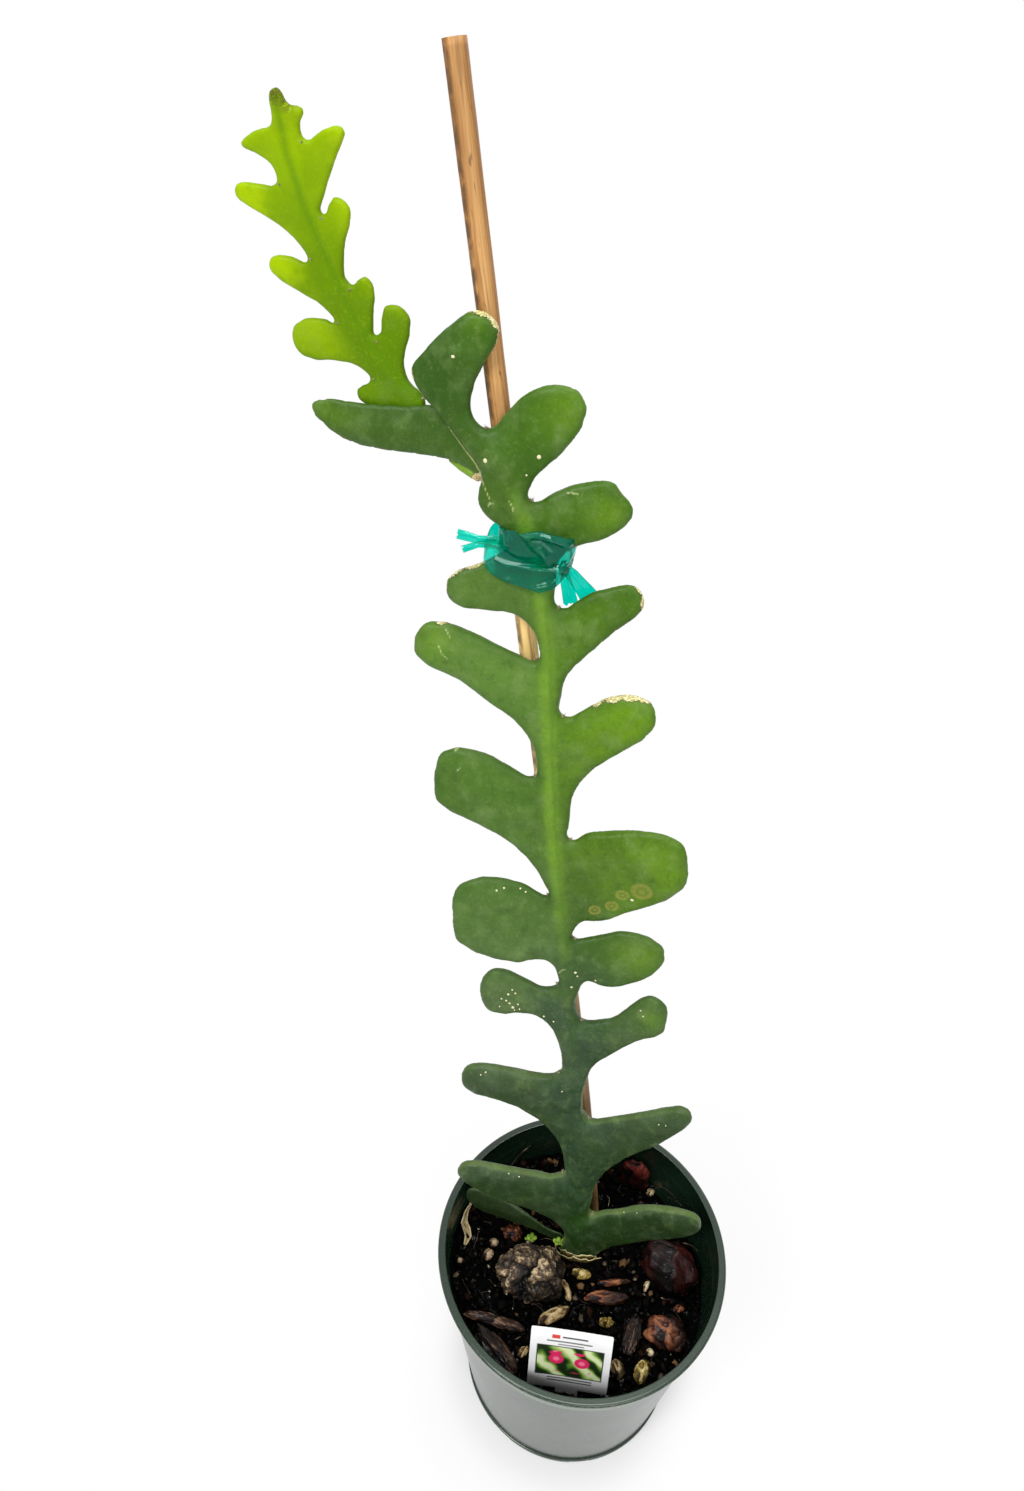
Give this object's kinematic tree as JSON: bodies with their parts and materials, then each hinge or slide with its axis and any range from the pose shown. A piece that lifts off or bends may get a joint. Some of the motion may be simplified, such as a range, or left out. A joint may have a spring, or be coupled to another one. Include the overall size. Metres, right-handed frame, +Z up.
{
  "type": "potted fishbone cactus",
  "caption": "Fishbone cactus with a tall, flat, zigzag-lobed stem and a pale young shoot, tied to a leaning cane in a round nursery pot of bark mix with a blank label.",
  "frame": {"origin": "centre of the pot's flat underside, on the surface that it stands on", "axes": "+Z up through the pot; the stem's flat face looks along -Y and its top leans to -X"},
  "size_m": [0.2535, 0.1759, 0.7026],
  "materials": {
    "pot_plastic": "dark green moulded plastic, smooth and slightly glossy",
    "potting_mix": "dark damp bark mix with fine fibres and pale grains",
    "stem_green": "waxy green skin, paler along the midrib, with tan scars in the notches",
    "young_green": "smooth yellow-green new growth",
    "cane_wood": "plain light brown wooden stick with long grain",
    "tie_tape": "thin translucent teal stretch tape",
    "label_plastic": "white plastic tag with a plain printed panel, no lettering",
    "bark_grey": "rough weathered grey-brown bark in layers",
    "bark_red": "dark red-brown bark",
    "bark_brown": "dark brown fibrous bark",
    "bark_tan": "tan wood splinters",
    "dry_leaf": "pale dried leaf and root",
    "grit": "small tan grit and wood grains"
  },
  "bodies": {
    "root": {"pot": "pot_plastic", "potting_mix": "potting_mix", "main_stem": "stem_green", "young_stem": "young_green", "basal_shoot": "stem_green", "side_stub": "young_green", "cane": "cane_wood", "tie_tape": "tie_tape", "plant_label": "label_plastic", "bark_nugget_grey": "bark_grey", "bark_chunk_right": "bark_red", "bark_chip_front_right": "bark_red", "bark_chip_back": "bark_red", "bark_chunk_left": "bark_brown", "bark_slab_left": "bark_brown", "bark_sliver_tan": "bark_tan", "bark_sliver_brown": "bark_brown", "twig_thin": "bark_tan", "twig_flat": "bark_tan", "wood_bit_yellow": "bark_tan", "wood_lump_red": "bark_red", "dead_leaf": "dry_leaf", "pebble_left": "grit", "pebble_left_small": "grit", "pebble_edge": "grit", "pebble_right": "grit", "wood_bit_front": "bark_tan", "wood_bit_dark": "bark_brown", "wood_bit_right": "bark_red", "wood_bit_left": "bark_tan", "wood_strip_dark": "bark_brown", "pebble_back": "grit", "pebble_middle": "grit", "root_bit_pale": "dry_leaf"}
  },
  "joints": []
}
